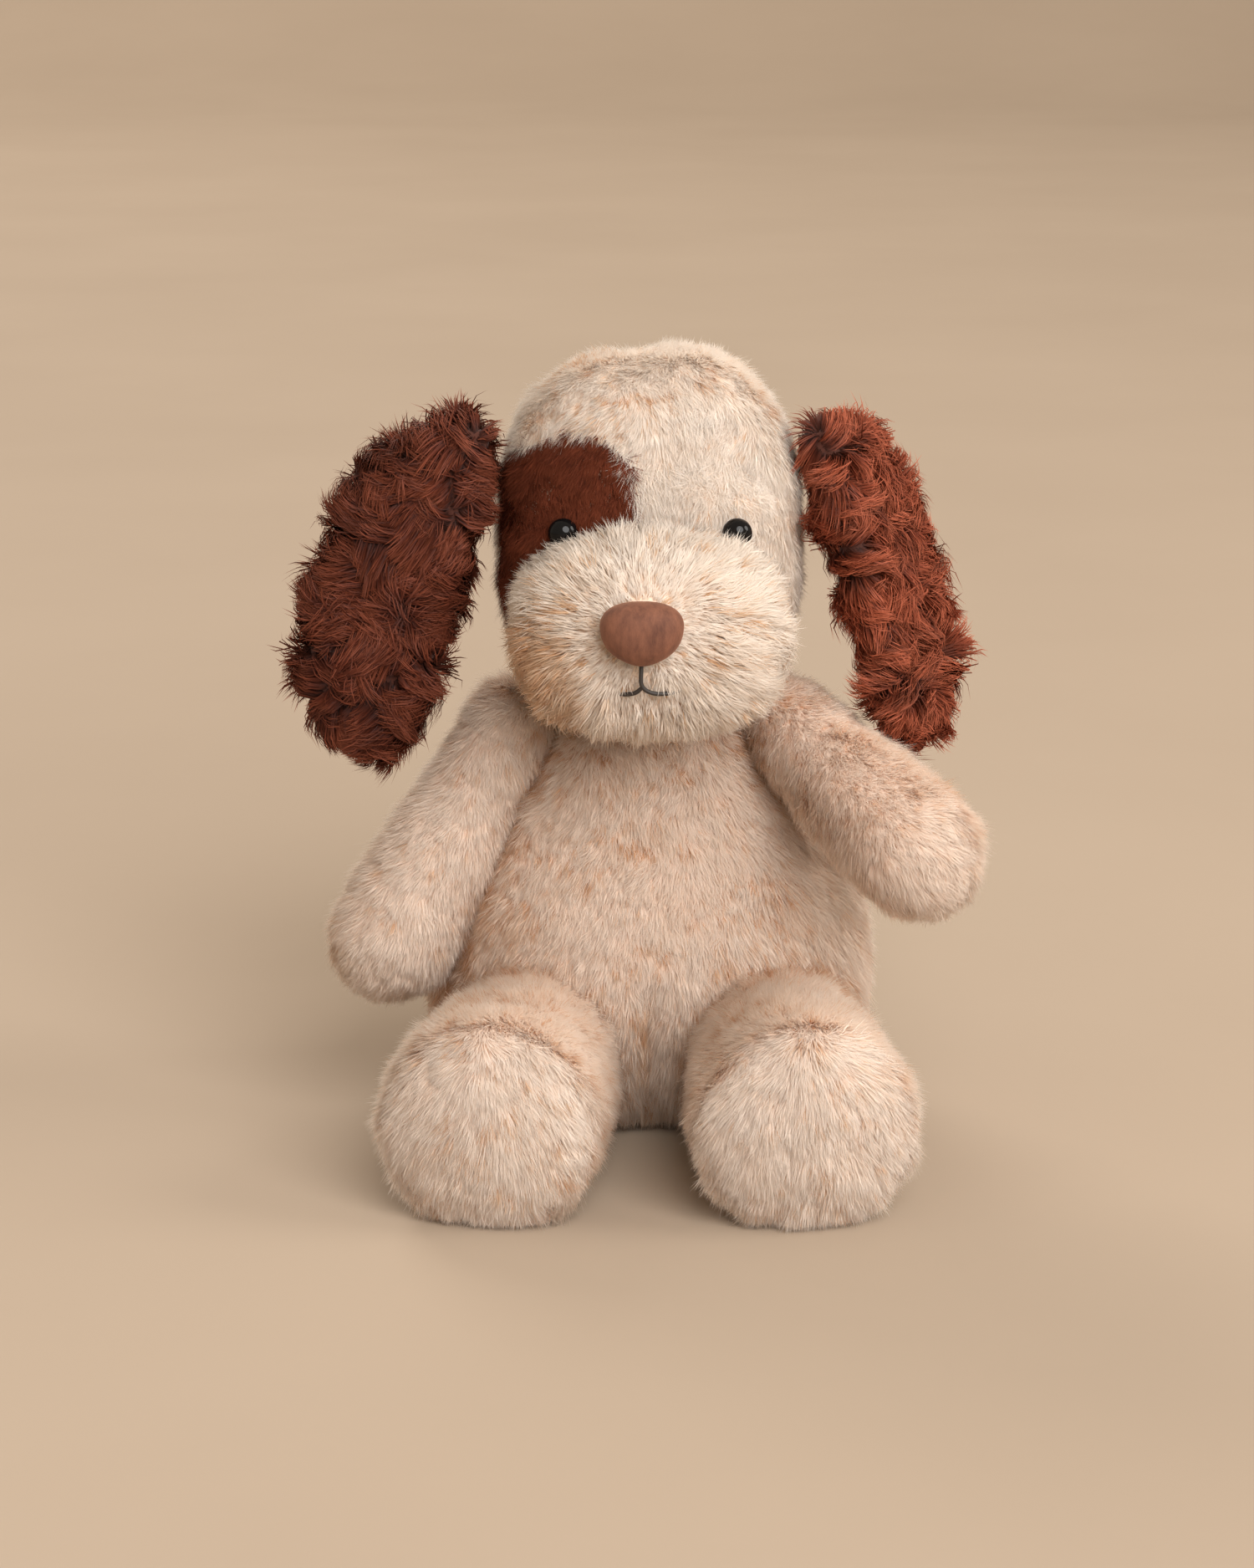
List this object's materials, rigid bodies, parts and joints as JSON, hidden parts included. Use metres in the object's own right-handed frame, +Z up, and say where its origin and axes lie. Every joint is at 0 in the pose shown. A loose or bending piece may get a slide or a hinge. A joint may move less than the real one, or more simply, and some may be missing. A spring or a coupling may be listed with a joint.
{
  "type": "plush dog",
  "caption": "Sitting soft toy dog of fur fabric over fibre filling, with floppy curly ears, a velour nose and sewn limbs that flex at their seams.",
  "frame": {"origin": "middle of the floor area that the sitting dog takes up, on the floor", "axes": "+Z up, +X to the dog's own left, -Y the way it faces"},
  "size_m": [0.242, 0.2314, 0.2835],
  "materials": {
    "body_plush": "beige fur fabric with short dense pile, warmer at the roots",
    "head_plush": "cream fur fabric with short dense pile",
    "foot_plush": "pale fur fabric with short dense pile",
    "patch_plush": "red-brown fur fabric with short pile",
    "ear_plush": "long curly brown fur fabric",
    "nose_velour": "matte dusty brown velour",
    "black_thread": "dull embroidery thread",
    "eye_plastic": "polished black",
    "washer_plastic": "natural moulded",
    "fibre_filling": "loose white polyester fibre",
    "lining_cloth": "plain woven",
    "satin_label": "woven satin ribbon, blank"
  },
  "bodies": {
    "torso": {"torso_cover": "body_plush", "torso_filling": "fibre_filling", "seat_pellet_bag": "lining_cloth", "care_label": "satin_label"},
    "neck": {"neck_filling": "fibre_filling"},
    "head": {"head_cover": "head_plush", "muzzle_cover": "head_plush", "eye_patch": "patch_plush", "head_filling": "fibre_filling", "nose_pad": "nose_velour", "mouth_stitch": "black_thread", "eye_left": "eye_plastic", "eye_washer_left": "washer_plastic", "eye_right": "eye_plastic", "eye_washer_right": "washer_plastic"},
    "ear_left": {"ear_left_front": "ear_plush", "ear_left_back": "ear_plush"},
    "ear_right": {"ear_right_front": "ear_plush", "ear_right_back": "ear_plush"},
    "arm_left": {"arm_left_cover": "body_plush", "arm_left_filling": "fibre_filling"},
    "arm_right": {"arm_right_cover": "body_plush", "arm_right_filling": "fibre_filling"},
    "leg_left": {"leg_left_cover": "body_plush", "foot_left_sole": "foot_plush", "leg_left_filling": "fibre_filling"},
    "leg_right": {"leg_right_cover": "body_plush", "foot_right_sole": "foot_plush", "leg_right_filling": "fibre_filling"},
    "tail": {"tail_cover": "body_plush", "tail_filling": "fibre_filling"}
  },
  "joints": [
    {"name": "head_turn", "type": "hinge", "parent": "torso", "child": "neck", "pos_m": [0.00492, 0.02284, 0.164], "axis": [0, 0, 1], "range_deg": [-8, 8], "stiffness_Nm_per_rad": 0.6},
    {"name": "head_nod", "type": "hinge", "parent": "neck", "child": "head", "pos_m": [0.00492, 0.02284, 0.164], "axis": [-1, 0, 0], "range_deg": [-6, 8], "stiffness_Nm_per_rad": 0.9},
    {"name": "ear_left_swing", "type": "hinge", "parent": "head", "child": "ear_left", "pos_m": [0.06292, -0.00316, 0.24235], "axis": [0, 0, 1], "range_deg": [-25, 20], "stiffness_Nm_per_rad": 0.05},
    {"name": "ear_right_swing", "type": "hinge", "parent": "head", "child": "ear_right", "pos_m": [-0.05308, -0.00316, 0.24235], "axis": [0, 0, -1], "range_deg": [-25, 20], "stiffness_Nm_per_rad": 0.05},
    {"name": "arm_left_raise", "type": "hinge", "parent": "torso", "child": "arm_left", "pos_m": [0.05392, 0.01884, 0.146], "axis": [-1, 0, 0], "range_deg": [-40, 10], "stiffness_Nm_per_rad": 0.25},
    {"name": "arm_right_raise", "type": "hinge", "parent": "torso", "child": "arm_right", "pos_m": [-0.04408, 0.01884, 0.146], "axis": [-1, 0, 0], "range_deg": [-10, 50], "stiffness_Nm_per_rad": 0.25},
    {"name": "leg_left_raise", "type": "hinge", "parent": "torso", "child": "leg_left", "pos_m": [0.05002, -0.0031, 0.0315], "axis": [-1, 0, 0], "range_deg": [0, 15], "stiffness_Nm_per_rad": 0.6},
    {"name": "leg_right_raise", "type": "hinge", "parent": "torso", "child": "leg_right", "pos_m": [-0.03412, -0.0031, 0.0315], "axis": [-1, 0, 0], "range_deg": [0, 15], "stiffness_Nm_per_rad": 0.6},
    {"name": "tail_wag", "type": "hinge", "parent": "torso", "child": "tail", "pos_m": [0.00492, 0.07878, 0.03404], "axis": [0, 0, 1], "range_deg": [-30, 30], "stiffness_Nm_per_rad": 0.05}
  ]
}
